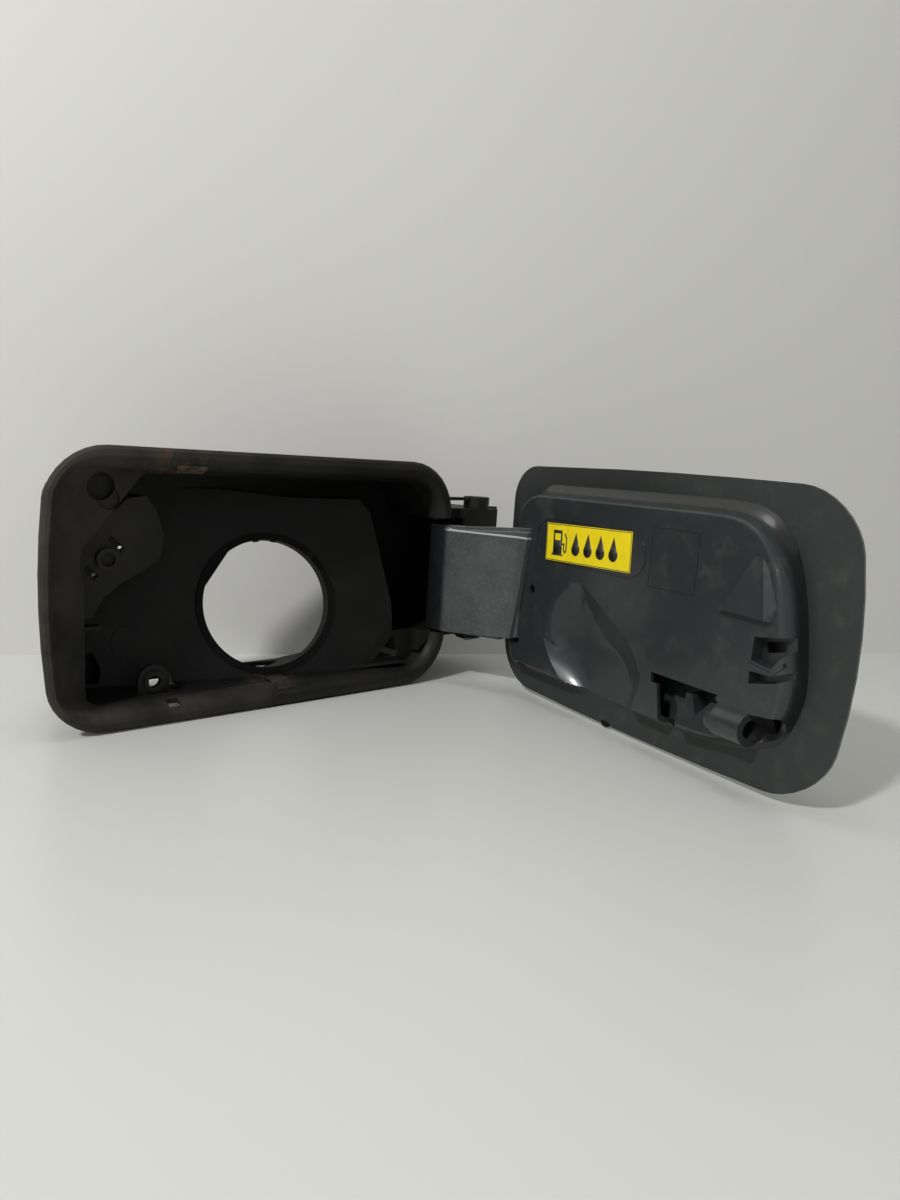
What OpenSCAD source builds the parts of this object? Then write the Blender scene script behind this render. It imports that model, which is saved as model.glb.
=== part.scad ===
// Car fuel door: filler bowl for the body side, gooseneck hinge arm and the door, shown open.
// Millimetres. x runs toward the hinge side, y into the car body, z up.
// The modules are drawn from the centre of the rim and moved so that the
// centre of the filler neck opening is the origin.

/* [Filler bowl] */
// Half of the rim's width, without the bowed free side
rim_half_w = 112.5; // [90:0.5:140]
// Half of the rim's height
rim_half_h = 65; // [50:0.5:85]
// How far the free side of the rim bows outward
rim_bow = 5.4; // [0:0.2:9]
// Depth from the rim's front plane to the inside of the base wall
bowl_depth = 50; // [40:1:70]
// Wall thickness of the moulding
wall = 2.4; // [2:0.2:4]
// Width of the flange outside the side walls
flange_w = 8.5; // [6:0.5:11]
// Depth of the wide ledge on the free side
ledge_y = 11.5; // [8:0.5:16]

/* [Filler neck seat] */
// Centre of the neck opening across
neck_x = 6.3; // [-20:0.1:30]
// Depth of the neck opening's centre
neck_y = 28; // [24:0.5:34]
// Height of the neck opening's centre
neck_z = -15.8; // [-25:0.1:5]
// Radius of the neck opening inside its collar
neck_r = 34.8; // [28:0.1:38]
// Sideways lean of the seat, hinge side forward, in degrees
seat_yaw = 12.4; // [0:0.2:16]
// Backward lean of the seat, top further in, in degrees
seat_lean = 11.6; // [0:0.2:16]
// Wall of the rubber collar
collar_t = 1.4; // [1:0.1:3]

/* [Hinge] */
// Pin axis, distance from the rim centre
pin_x = 137.5; // [125:0.5:165]
// Pin axis, depth behind the rim plane
pin_y = 6.5; // [5:0.5:12]
// Pin radius
pin_r = 2.5; // [2:0.1:3.5]
// Radial running clearance of pin and bushes
run_gap = 0.05; // [0.02:0.01:0.1]
// Opening angle of the door as shown, in degrees
open_angle = 80; // [0:1:88]
// Thickness of the gooseneck arm
arm_t = 3; // [2.4:0.2:4]
// Radius of the arm's knuckle
knuckle_r = 5.2; // [4.6:0.1:6]
// Top of the slot in the bowl that the arm passes through
slot_top = 33.3; // [25:0.1:38]
// Bottom of the same slot
slot_bottom = -35.5; // [-42:0.1:-28]

/* [Door] */
// How much smaller the door is than the rim at each side
door_margin_x = 2.5; // [1:0.5:6]
// How much smaller the door is than the rim at top and bottom
door_margin_z = 1; // [0.5:0.5:4]
// How much higher the door sits than the rim
door_rise = 2.5; // [0:0.5:5]
// Plane of the door's edge in front of the rim plane, when shut
door_edge_y = -4.2; // [-8:0.1:-3.4]
// Crown of the outer skin at its middle
door_crown = 5; // [2:0.5:9]
// Thickness of the outer skin
skin_t = 1.3; // [0.8:0.1:2]
// Height of the inner liner's face behind the rim plane, when shut
liner_y = 9; // [7:0.5:11]
// Wall thickness of the liner
liner_t = 2; // [1.6:0.2:3]

/* [Fuel label] */
// Width of the label
label_w = 66; // [40:1:72]
// Height of the label
label_h = 20; // [14:1:22]

/* [Hidden] */
$fn = 48;
big = 400;
arm_top = slot_top - 3.8;
arm_bottom = slot_bottom + 1.9;
bush_r = pin_r + 1.1;
barrel_r = 7.9;
ear_t = 5.7;
door_half_w = rim_half_w - door_margin_x;
door_half_h = rim_half_h - door_margin_z;
base_back = bowl_depth + wall;
liner_base = door_edge_y + skin_t + 0.1;
cav_r = rim_half_w - 10.5;
cav_top = rim_half_h - 11.8;
cav_bot = -rim_half_h + 10.6;
cav_l = -rim_half_w + 16.5;
lug_z = cav_bot + 6.4;
pit_z = rim_half_h - 18.7;
door_sx = door_half_w / 110;
door_sz = door_half_h / 64;

// Outlines in the rim plane, points as [x, z]
function corner(cx, cz, r, a0, n) = [for (i = [0:n]) let(a = a0 + 90 * i / n) [cx + r * cos(a),
    cz + r * sin(a)]];
function side(p, q, m) = [for (i = [1:m - 1]) p + (q - p) * i / m];
function box_round(x0, x1, z0, z1, r, n = 8, m = 5) = let(
    c0 = corner(x1 - r[0], z1 - r[0], r[0], 0, n),
    c1 = corner(x0 + r[1], z1 - r[1], r[1], 90, n),
    c2 = corner(x0 + r[2], z0 + r[2], r[2], 180, n),
    c3 = corner(x1 - r[3], z0 + r[3], r[3], 270, n))
    concat(c0, side(c0[n], c1[0], m), c1, side(c1[n], c2[0], m), c2, side(c2[n], c3[0], m),
           c3, side(c3[n], c0[0], m));
// bow: [top, free side, bottom, hinge side]
function bowed(pts, a, b, bw) = [for (p = pts) let(
    fx = max(0, 1 - pow(p[0] / a, 2)),
    fz = max(0, 1 - pow(p[1] / b, 2)))
    [p[0] + (p[0] > 0 ? bw[3] : -bw[1]) * fz * abs(p[0]) / a,
     p[1] + (p[1] > 0 ? bw[0] : -bw[2]) * fx * abs(p[1]) / b]];
// outline of the rim drawn in by i, and by il on the free side
function rim_pts(i, il) = bowed(box_round(-rim_half_w + il, rim_half_w - i, -rim_half_h + i, rim_half_h - i,
    [max(30 - i, 4), max(24 - i, 4), max(22 - i, 4), max(30 - i, 4)]),
    rim_half_w, rim_half_h, [0.5, rim_bow, 0.8, 0]);
function door_pts(i) = [for (p = bowed(box_round(-door_half_w + i, door_half_w - i,
    -door_half_h + i, door_half_h - i, [max(19.5 - i, 3), max(24.5 - i, 3), max(25 - i, 3),
                                        max(27 - i, 3)]),
    door_half_w, door_half_h, [1.8, rim_bow + 4.1, 2.4, 0])) [p[0], p[1] + door_rise]];
// outline of the liner at its foot: free end strongly rounded
liner_line = concat(corner(70.5, 35.5, 22, 0, 6), [[40, 57.9], [0, 58.3], [-34, 58.4], [-59, 58.2],
    [-71, 56],
    [-80.6, 50.5], [-87.3, 41.9], [-92.9, 28.6], [-96.8, 12.2], [-98.6, 0], [-99.8, -11], [-99.4, -20.5],
    [-96.4, -30.3], [-92, -38.3], [-86, -43.1], [-74.6, -47.4], [-57.9, -50.3], [-39.6, -51.1],
    [-24.7, -51.4],
    [0, -51.3], [30, -51], [60, -50.6]], corner(82.5, -40.5, 10, 270, 4), [[92.5, -20], [92.5, 0],
    [92.5, 18]]);
function unit(v) = v / norm(v);
function perp(v) = [-v[1], v[0]];
// closed line moved inward by i
function inset(p, i) = let(n = len(p)) [for (k = [0:n - 1])
    p[k] + i * perp(unit(p[(k + 1) % n] - p[(k + n - 1) % n]))];
function smooth_at(a, b, c, d, t) = 0.5 * (2 * b + (c - a) * t + (2 * a - 5 * b + 4 * c - d) * t * t
    + (3 * b - a - 3 * c + d) * t * t * t);
function smooth_loop(p, k) = let(n = len(p)) [for (i = [0:n - 1], j = [0:k - 1])
    smooth_at(p[(i + n - 1) % n], p[i], p[(i + 1) % n], p[(i + 2) % n], j / k)];
// liner outline drawn in by i, its top lowered by d and its bottom raised by u
function liner_pts(i, d = 0, u = 0) = [for (p = inset(smooth_loop([for (q = liner_line)
    [q[0] * door_sx, q[1] * door_sz]], 2), i)) [p[0], p[1] - d * min(1, max(0, (p[1] - 28) / 16))
    + u * min(1, max(0, (-p[1] - 26) / 14))]];
// deep part of the bowl, o outside of the inner face
function deep_pts(o) = concat(
    [[cav_l - o, cav_bot - o], [cav_l - o, 2], [cav_l - 2 - o, 10], [cav_l - 1.2 - o, 18 + o * 0.5],
     [cav_l + 12 - o * 0.7, 33.6 + o * 0.7], [cav_l + 25.8 - o * 0.8, cav_top - 2 + o * 0.5],
     [cav_l + 28 - o * 0.5, cav_top + o]],
    [for (i = [0:8]) [cav_r - 21 + (21 + o) * sin(90 * i / 8), cav_top - 21 + (21 + o) * cos(90 * i / 8)]],
    [for (i = [0:8]) [cav_r - 21 + (21 + o) * cos(90 * i / 8), cav_bot + 21 - (21 + o) * sin(90 * i / 8)]]);

// a band of thickness t along the points p, with mitred bends
function mitre(p, i, s) = let(
    n = len(p),
    a = i > 0 ? unit(p[i] - p[i - 1]) : unit(p[1] - p[0]),
    b = i < n - 1 ? unit(p[i + 1] - p[i]) : a,
    m = perp(a) + perp(b))
    p[i] + s * m * 2 / (m * m);
function band(p, t) = concat([for (i = [0:len(p) - 1]) mitre(p, i, t / 2)],
    [for (i = [len(p) - 1:-1:0]) mitre(p, i, -t / 2)]);
// the same band from side offset u to side offset v
function half_band(p, u, v) = concat([for (i = [0:len(p) - 1]) mitre(p, i, v)],
    [for (i = [len(p) - 1:-1:0]) mitre(p, i, u)]);
// smooth line through the points p, k steps between each pair
function smooth(p, k) = concat([for (i = [0:len(p) - 2], j = [0:k - 1])
    smooth_at(p[max(i - 1, 0)], p[i], p[i + 1], p[min(i + 2, len(p) - 1)], j / k)], [p[len(p) - 1]]);

module place() {
    translate([-neck_x, -neck_y, -neck_z])
        children();
}
module swing() {
    place()
        translate([pin_x, pin_y, 0])
            rotate([0, 0, open_angle])
                translate([-pin_x, -pin_y, 0])
                    children();
}
// a flat shape in x and z, from depth y0 to y1
module deep(y0, y1) {
    translate([0, y1, 0])
        rotate([90, 0, 0])
            linear_extrude(height = y1 - y0)
                children();
}
module block(a, b) {
    translate(a)
        cube(b - a);
}
// closed skin through rings of equal point count: rings = [[y, points], ...]
module loft(rings) {
    n = len(rings[0][1]);
    k = len(rings);
    ring = [for (r = rings, p = r[1]) [p[0], r[0], p[1]]];
    pts = concat(ring, [[0, rings[0][0], 0], [0, rings[k - 1][0], 0]]);
    sides = [for (j = [0:k - 2], i = [0:n - 1])
        let(a = j * n + i, b = j * n + (i + 1) % n) [a, b, b + n, a + n]];
    tri = [for (f = sides, t = [0, 1]) t == 0 ? [f[0], f[1], f[2]] : [f[0], f[2], f[3]]];
    cap0 = [for (i = [0:n - 1]) [n * k, (i + 1) % n, i]];
    cap1 = [for (i = [0:n - 1]) [n * k + 1, (k - 1) * n + i, (k - 1) * n + (i + 1) % n]];
    all_faces = concat(tri, cap0, cap1);
    up = rings[k - 1][0] > rings[0][0];
    polyhedron(points = pts, faces = [for (f = all_faces) up ? f : [f[2], f[1], f[0]]], convexity = 6);
}
module seat_frame() {
    translate([neck_x, neck_y, neck_z])
        rotate([-seat_lean, 0, -seat_yaw])
            children();
}
// everything behind the leaning seat plane, moved in by d
module behind_seat(d) {
    seat_frame()
        block([-180, d, -180], [180, 180, 180]);
}
function seat_pts(i) = [[cav_l - 1 + i, 44.5 - i], [-13, 44.5 - i], [22, 41.5 - i], [64 - i, 41.5 - i],
    [70.5 - i, 34], [74.5 - i, 10], [80.4 - i, -25], [86.5 - i, -47], [84.5 - i, cav_bot + 2 + i],
    [50, cav_bot + i],
    [27, cav_bot - 1.5 + min(i, 1.5)], [cav_l - 1 + i, cav_bot - 1.5 + min(i, 1.5)]];

module bowl_skin() {
    loft([[-1.5, rim_pts(5.5, 4)], [-1.5, rim_pts(4, 3)], [-0.9, rim_pts(1.6, 1.3)],
          [0.4, rim_pts(0.2, 0.2)],
          [1.8, rim_pts(0, 0)], [3, rim_pts(0.5, 0.5)], [3.2, rim_pts(0.9, 0.9)],
          [3.2, rim_pts(flange_w - 1, 2)],
          [ledge_y + wall, rim_pts(flange_w, 3)]]);
    deep(ledge_y - 1, base_back)
        polygon(deep_pts(wall));
}
module bowl_hollow() {
    loft([[-4, rim_pts(4.6, 2.8)], [-1.5, rim_pts(4.6, 2.8)], [-0.9, rim_pts(6.4, 3.8)],
          [0.8, rim_pts(8.2, 5)],
          [2.6, rim_pts(9.2, 6.6)], [4.6, rim_pts(9.9, 8.8)], [6.6, rim_pts(10.3, 11.6)],
          [8.4, rim_pts(10.5, 14.8)],
          [ledge_y - 1.4, rim_pts(10.6, 18)], [ledge_y - 0.5, rim_pts(10.7, 21)],
          [ledge_y, rim_pts(10.7, 24)]]);
    deep(ledge_y - 3, bowl_depth)
        polygon(deep_pts(0));
}
module hinge_box_outer() {
    translate([0, 0, slot_bottom - 3])
        linear_extrude(height = slot_top + ear_t - slot_bottom + 3)
            polygon([[cav_r - 4, 3], [121.5, 3], [121.5, -1.4], [pin_x + 11, -1.4], [pin_x + 13, 0.6],
                     [pin_x + 13, 31],
                     [pin_x + 7.5, 46.4], [121, base_back], [cav_r - 4, base_back]]);
}
module hinge_barrels() {
    for (b = [[slot_top, slot_top + 12.7], [slot_bottom - 6.5, slot_bottom]])
        translate([pin_x, pin_y, b[0]])
            cylinder(r = barrel_r, h = b[1] - b[0]);
    // strap from the upper barrel back to the rim, with the window under it
    block([103, pin_y - 2.5, slot_top + 10.4], [pin_x - 5, pin_y + 2.5, slot_top + 12.2]);
    block([103, pin_y - 3, slot_top - 1], [109, pin_y + 3, slot_top + 12.2]);
    // lug beyond the upper barrel
    block([pin_x + 9.5, pin_y + 1, slot_top - 5], [pin_x + 19, pin_y + 5, slot_top + 6.7]);
    block([pin_x + 4, pin_y + 1, slot_top + 1], [pin_x + 12, pin_y + 5, slot_top + 5]);
}
module lock_plateau() {
    deep(18, base_back)
        polygon([[-97.6, 4], [-97.2, 17.5], [-84, 31], [-73.5, 41], [-65, 42], [-60, 35.5], [-56, 23.5],
                 [-58, 12],
                 [-66, 6.5], [-76.8, 1], [-85.2, -6.1], [-90.5, -15], [-97.6, -15]]);
    translate([-83.7, 18.5, 12.7])
        rotate([90, 0, 0])
            cylinder(r = 5.2, h = 3.5);
}
module lock_cuts() {
    translate([-83.7, 17.4, 12.7])
        rotate([90, 0, 0])
            cylinder(r = 3.4, h = 8);
    // two blind slots, each with a small light hole at its lower end
    for (s = [[-78.9, 19.4, 4.6], [-90.4, 6.3, 3.7]])
        translate([s[0], 0, s[1]])
            rotate([0, -45, 0]) {
                block([-1.4, 10, -s[2]], [1.4, 21, s[2]]);
                translate([0, 20, 1.2 - s[2]])
                    rotate([-90, 0, -18])
                        cylinder(r = 1, h = 60);
            }
}
module housing_bowl() {
    color([0.07, 0.07, 0.07])
    place()
    difference() {
        union() {
            difference() {
                union() {
                    bowl_skin();
                    hinge_box_outer();
                }
                bowl_hollow();
                // inside of the hinge box, open to the bowl and to the front at the rim
                translate([0, 0, slot_bottom])
                    linear_extrude(height = slot_top - slot_bottom)
                        polygon([[cav_r - 6, -6], [122.2, -6], [122.2, 0.7], [pin_x + 10.6, 0.7],
                                 [pin_x + 10.6, 30.6],
                                 [pin_x + 5.6, 44.4], [120.6, bowl_depth], [cav_r - 6, bowl_depth]]);
            }
            // leaning seat for the filler neck and shelf below the arm's slot, clear of the shut door
            difference() {
                union() {
                    intersection() {
                        deep(2, base_back)
                            polygon(seat_pts(0));
                        behind_seat(0);
                    }
                    intersection() {
                        deep(10, base_back)
                            translate([-64.2, -33.9])
                                circle(r = 9.2);
                        behind_seat(-0.5);
                    }
                    deep(liner_y + 1.2, liner_y + 3.6)
                        polygon([[80, slot_bottom + 1.3], [cav_r + 2, slot_bottom + 1.3],
                                 [cav_r + 2, cav_bot + 14],
                                 [cav_r - 8, cav_bot + 3], [84, cav_bot - 1], [76, cav_bot - 1]]);
                    deep(3.4, liner_y + 2)
                        polygon([[94.2, slot_bottom + 1.3], [cav_r + 2, slot_bottom + 1.3],
                                 [cav_r + 2, cav_bot + 16],
                                 [94.2, cav_bot + 8]]);
                    block([80.5, liner_y + 1.2, cav_bot - 1], [83, base_back - 1, slot_bottom + 1.3]);
                }
                deep(-20, liner_y + 0.9)
                    polygon(liner_pts(-1.3));
                block([79, -20, slot_bottom + 1.4], [cav_r - 8, liner_y + 4.3, slot_top]);
            }
            lock_plateau();
            // cups behind the pit and the shallow dimple beside it
            translate([-88.4, 18.9, pit_z])
                rotate([90, 0, 0])
                    cylinder(r = 8.4, h = 7.3);
            hinge_barrels();
            // screw lug on the floor
            translate([-61.5, 18.6, lug_z])
                rotate([90, 0, 0])
                    cylinder(r = 8, h = 2.6);
            block([-69.5, 16, cav_bot - 1], [-53.5, 18.6, lug_z]);
            translate([-61.5, 18.6, lug_z])
                rotate([90, 0, 0])
                    cylinder(r = 5, h = 4.2);
            // small ledge on the free side
            block([cav_l - 1, 18, -20.5], [cav_l + 10, 24, -18.9]);
        }
        // hollow behind the seat, kept solid round the dark pocket in its lower corner
        difference() {
            intersection() {
                deep(2, base_back + 20)
                    polygon(seat_pts(wall));
                behind_seat(wall);
            }
            block([-91, 0, cav_bot - 3], [-76.8, 90, cav_bot + 20]);
        }
        deep(30, bowl_depth)
            polygon([[-89, cav_bot + 17], [-81.8, cav_bot + 16.6], [-79, cav_bot + 9.6], [-79, cav_bot + 6],
                     [-80.6, cav_bot + 1.6], [-89, cav_bot + 1.6]]);
        // room for the two lips of the collar
        seat_frame()
            rotate([-90, 0, 0]) {
                translate([0, 0, -1.4])
                    cylinder(r = neck_r + collar_t + 2.4, h = 1.4, $fn = 96);
                translate([0, 0, wall])
                    cylinder(r = neck_r + collar_t + 1.4, h = 2, $fn = 96);
            }
        seat_frame()
            translate([0, 30, 0])
                rotate([90, 0, 0])
                    cylinder(r = neck_r + collar_t + 0.1, h = 60, $fn = 96);
        // hollow behind the lock plateau
        deep(20.6 + wall, base_back + 20)
            polygon([[-95.2, 5], [-94.8, 17], [-82.4, 29.4], [-72.6, 38.6], [-66.2, 39.4], [-62.4, 34.8],
                     [-58.6, 23.5],
                     [-60.2, 13.4], [-67.2, 8.7], [-78.2, 3.2], [-87.2, -4.2], [-92, -12.4],
                     [-95.2, -12.4]]);
        lock_cuts();
        // pit and dimple in the free side's ledge
        translate([-88.2, ledge_y + 5, pit_z + 0.2])
            rotate([90, 0, 0])
                cylinder(r = 6.4, h = 24);
        translate([-84.8, ledge_y + 1.5, pit_z - 5.2])
            rotate([90, 0, 0])
                cylinder(r = 5.2, h = 20);
        // slot beside the upper clip, slots in the floor, drain hole, screw hole
        block([-73, 4.2, cav_top - 1], [-42.4, 10, cav_top + 9]);
        block([-60.2, 0.6, cav_bot - 4.8], [-54, 6.4, cav_bot + 3]);
        block([-2, 12.6, cav_bot - 6], [9.9, 16, cav_bot + 1]);
        block([-60, 27, cav_bot - 6], [-46, 49, cav_bot + 3.2]);
        translate([-61.5, 25, lug_z])
            rotate([90, 0, 0])
                cylinder(r = 3.2, h = 25);
        translate([pin_x, pin_y, slot_top + 11])
            cylinder(r = pin_r + 2, h = 4);
        translate([pin_x, pin_y, -80])
            cylinder(r = pin_r + run_gap, h = 160);
    }
}
module ring_profile(r0, r1, y0, y1) {
    translate([r0, y0])
        square([r1 - r0, y1 - y0]);
}
module neck_collar() {
    color([0.05, 0.05, 0.05])
    place()
    seat_frame()
    union() {
        rotate([-90, 0, 0])
            rotate_extrude($fn = 96)
                union() {
                    ring_profile(neck_r, neck_r + collar_t, -1.2, 6.5);
                    ring_profile(neck_r, neck_r + collar_t + 2.2, -1.2, -0.08);
                    ring_profile(neck_r, neck_r + collar_t + 1.2, wall + 0.08, wall + 1.6);
                }
        // flat moulded web across the upper free side of the opening
        intersection() {
            rotate([-90, 0, 0])
                cylinder(r = neck_r + 0.5, h = 2.2, $fn = 96);
            rotate([0, 35, 0])
                block([-big, 0, -big], [-neck_r + 2, 2.2, big]);
        }
        for (a = [82, 98])
            rotate([0, -a, 0])
                block([neck_r - 0.9, 0.2, -1.6], [neck_r + 0.4, 2, 1.6]);
    }
}
// bent strip in the y-z plane, t thick, from x0 to x1, through points [y, z]
module strip(x0, x1, t, p) {
    translate([x0, 0, 0])
        rotate([90, 0, 90])
            linear_extrude(height = x1 - x0)
                polygon(band(p, t));
}
module retaining_clip_top() {
    color([0.55, 0.42, 0.27])
    place()
        strip(-57.4, -42.8, 0.7, [[-0.4, cav_top + 4.2], [0.9, cav_top + 2.7], [3.7, cav_top + 1.3],
                                  [5.2, cav_top + 1],
              [5.4, cav_top + 8], [9.2, cav_top + 8.2]]);
}
module retaining_clip_floor() {
    color([0.5, 0.38, 0.25]) {
    place()
        strip(-1.4, 9.3, 0.7, [[0.5, cav_bot - 2.7], [3.5, cav_bot - 1.2], [7.3, cav_bot - 0.4],
                               [9, cav_bot + 0.5],
              [17.6, cav_bot + 0.5]]);
    place()
        strip(-1.4, 9.3, 0.7, [[14.3, cav_bot + 0.6], [14.3, cav_bot - 6], [19, cav_bot - 7.4]]);
    }
}
module hinge_pin() {
    color([0.25, 0.25, 0.26])
    place()
    translate([pin_x, pin_y, 0]) {
        translate([0, 0, slot_bottom - 8.8])
            cylinder(r = pin_r, h = slot_top + 11.6 - (slot_bottom - 8.8));
        translate([0, 0, slot_top + 11.05])
            cylinder(r = pin_r + 1.9, h = 1.4);
    }
}
module pin_retainer() {
    color([0.4, 0.4, 0.42])
    place()
    translate([pin_x, pin_y, slot_bottom - 7.7])
        difference() {
            cylinder(r = pin_r + 2.2, h = 1);
            translate([0, 0, -1])
                cylinder(r = pin_r + 0.02, h = 3);
            block([0, -0.5, -1], [pin_r + 4, 0.5, 3]);
        }
}
// The arm is drawn shut
arm_path = smooth([[72.5, 10.7], [78.5, 11], [85, 13.6], [100, 22.4], [115, 31.2], [122, 35],
                   [130, 37.6], [136.5, 36.6], [140.4, 31],
    [140.6, 20], [137.5, 6.5]], 4);
module arm_plan() {
    polygon(band(arm_path, arm_t));
}
// side view of the arm, its end slanting, the top edge drawn in by d
module arm_side_shape(d) {
    polygon([[82.2, -31.2], [116, arm_bottom], [160, arm_bottom], [160, arm_top], [125, arm_top],
             [118, arm_top - d],
             [84, 32.2 - d], [74.2, 32.6 - d]]);
}
module hinge_arm() {
    color([0.38, 0.42, 0.44])
    swing()
    difference() {
        union() {
            intersection() {
                translate([0, 0, -60])
                    linear_extrude(height = 120)
                        arm_plan();
                deep(-10, 60)
                    arm_side_shape(2.3);
            }
            // set-back upper edge
            intersection() {
                translate([0, 0, -60])
                    linear_extrude(height = 120)
                        polygon(half_band(arm_path, -arm_t / 2, 0));
                deep(-10, 60)
                    arm_side_shape(0);
            }
            // return flanges along the top and bottom edges
            for (z = [[arm_bottom, arm_bottom + 2.4], [arm_top - 2.4, arm_top]])
                translate([0, 0, z[0]])
                    linear_extrude(height = z[1] - z[0])
                        polygon([[90, 15.6], [113, 29.6], [121, 34.2], [130, 37], [136.5, 35.4],
                                 [139.8, 29.8],
                                 [139, 20], [131.5, 20], [130.5, 27.5], [126, 28.5], [116, 22.5],
                                 [99, 10.5], [93.2, 8.5]]);
            // foot under the liner's hinge end
            translate([0, 0, -30.5])
                linear_extrude(height = 61.5)
                    polygon([[80.2, liner_base + 0.1], [96, liner_base + 0.1], [96, 2], [92, 16.6],
                             [84, 12],
                             [80.2, 10.4]]);
            translate([pin_x, pin_y, arm_bottom])
                cylinder(r = knuckle_r, h = arm_top - arm_bottom);
        }
        translate([pin_x, pin_y, -80])
            cylinder(r = pin_r + 0.6, h = 160);
        translate([pin_x, pin_y, arm_top - 9])
            cylinder(r = bush_r + 0.02, h = 20);
        translate([pin_x, pin_y, arm_bottom - 11])
            cylinder(r = bush_r + 0.02, h = 20);
    }
}
module bush(zflip) {
    difference() {
        union() {
            cylinder(r = bush_r, h = 8.8);
            translate([0, 0, zflip ? -0.9 : 8.8])
                cylinder(r = knuckle_r - 0.2, h = 0.9);
        }
        translate([0, 0, -2])
            cylinder(r = pin_r + run_gap, h = 14);
    }
}
module arm_bush_upper() {
    color([0.85, 0.85, 0.8])
    swing()
    translate([pin_x, pin_y, arm_top - 8.75])
        bush(false);
}
module arm_bush_lower() {
    color([0.85, 0.85, 0.8])
    swing()
    translate([pin_x, pin_y, arm_bottom - 0.05])
        bush(true);
}
// The door is drawn shut
// the part of the children between two depths
module between(y0, y1) {
    intersection() {
        children();
        block([-big, y0, -big], [big, y1, big]);
    }
}
module liner_outer() {
    between(liner_base, liner_y)
        loft([[liner_base - 1, liner_pts(0)], [liner_base + 0.2, liner_pts(0)],
              [liner_base + 1.6, liner_pts(0.3, 1.2, 1.6)], [liner_base + 3.6, liner_pts(0.6, 3, 3.2)],
              [liner_base + 6.2, liner_pts(1, 4, 3.1)], [liner_y - 3.4, liner_pts(1.5, 4, 3)],
              [liner_y - 1.5, liner_pts(2.5, 3.4, 2.6)], [liner_y - 0.45, liner_pts(3.7, 2.7, 2)],
              [liner_y + 0.3, liner_pts(5.9, 2, 1.5)]]);
}
module liner_inner() {
    between(liner_base - 2, liner_y - liner_t)
        loft([[liner_base - 3, liner_pts(liner_t, 1.6, 1.6)],
              [liner_base + 1, liner_pts(liner_t + 0.3, 2.6, 2.6)],
              [liner_base + 6, liner_pts(liner_t + 1, 4.2, 3.2)],
              [liner_y - 2 - liner_t, liner_pts(liner_t + 1.8, 3.8, 3)],
              [liner_y - liner_t + 0.6, liner_pts(liner_t + 5, 2.7, 2)]]);
}
// scoop that clears the filler cap, open through the lower wall: rim line, then deepest line as [x,
// depth, z]
scoop_rim = [[30, 8.9], [20.5, 4.4], [10.7, -1.6], [0.1, -7.9], [-10.6, -12.6], [-16.4, -19.4],
             [-18.9, -27.2],
    [-18, -36.9], [-14.4, -47], [-13, -58], [34, -58], [35.6, -49], [41, -44], [49.8, -36.4], [57.4, -25],
    [58.7, -14.2], [54, -3], [43, 5.6]];
scoop_deep = [[30.1, 4.6, -1], [27, 1.8, -9], [21.8, 0.3, -15.8], [16, -0.5, -20.6], [9.6, -0.8, -24],
    [4, -0.8, -27.8], [0.4, -0.9, -32.6], [-1.6, -1, -39], [-1.5, -1.1, -47], [-1, -1.2, -58],
    [22.6, -1.2, -58],
    [22.8, -1.1, -49], [23, -1, -42.6], [23.2, -1, -36], [23.8, -0.8, -28.4], [25, -0.3, -21],
    [27.8, 1, -14],
    [30.6, 3, -6.6]];
function scoop_ring(s, g) = let(
    f = inset(smooth_loop(scoop_rim, 3), -g),
    d = smooth_loop(scoop_deep, 3),
    e = inset([for (p = d) [p[0], p[2]]], -0.7 * g),
    n = len(f))
    [for (k = [0:n - 1]) let(
        w = 0.55 - 0.45 * sin(360 * k / n),
        h = w * sin(90 * s) + (1 - w) * s,
        q = f[k] + (e[k] - f[k]) * s)
        [q[0], liner_y + 0.05 + (d[k][1] - liner_y - 0.05) * h - g * min(1, s * 3), q[1]]];
module scoop(g) {
    rings = concat([for (j = [6:-1:0]) scoop_ring(j / 6, g)],
        [[for (p = inset(smooth_loop(scoop_rim, 3), -g - 0.6)) [p[0], liner_y + 4, p[1]]]]);
    n = len(rings[0]);
    k = len(rings);
    sides = [for (j = [0:k - 2], i = [0:n - 1])
        let(a = j * n + i, b = j * n + (i + 1) % n) [a, b, b + n, a + n]];
    tri = [for (f = sides, u = [0, 1]) u == 0 ? [f[0], f[1], f[2]] : [f[0], f[2], f[3]]];
    ladder = concat([for (i = [0:n / 2 - 2]) [i, i + 1, n - i - 1]],
        [for (i = [1:n / 2 - 1]) [i, n - i - 1, n - i]]);
    low = [for (f = ladder) [f[2], f[1], f[0]]];
    high = [for (f = ladder) [f[0] + (k - 1) * n, f[1] + (k - 1) * n, f[2] + (k - 1) * n]];
    polyhedron(points = [for (r = rings, p = r) p], faces = concat(tri, low, high), convexity = 6);
}
// wedge boss near the free end
module wedge() {
    polyhedron(points = [[-76.9, liner_y - 1.5, 37.1], [-62.3, liner_y - 1.5, 12.1],
                         [-89.5, liner_y - 1.5, 11.1],
                         [-91.5, liner_y - 2.2, 20.5], [-81.5, liner_y - 1.5, 37.7],
                         [-77.2, liner_y + 0.3, 36.8],
                         [-63.4, liner_y + 3.2, 12.7], [-87.4, liner_y + 4, 12.4],
                         [-81.2, liner_y + 0.8, 37.2]],
               faces = [[0, 1, 2], [0, 2, 3], [0, 3, 4], [5, 8, 7], [5, 7, 6], [1, 0, 5], [1, 5, 6],
                        [2, 1, 6],
                        [2, 6, 7], [3, 2, 7], [3, 7, 8], [4, 3, 8], [0, 4, 8], [0, 8, 5]], convexity = 3);
}
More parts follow.
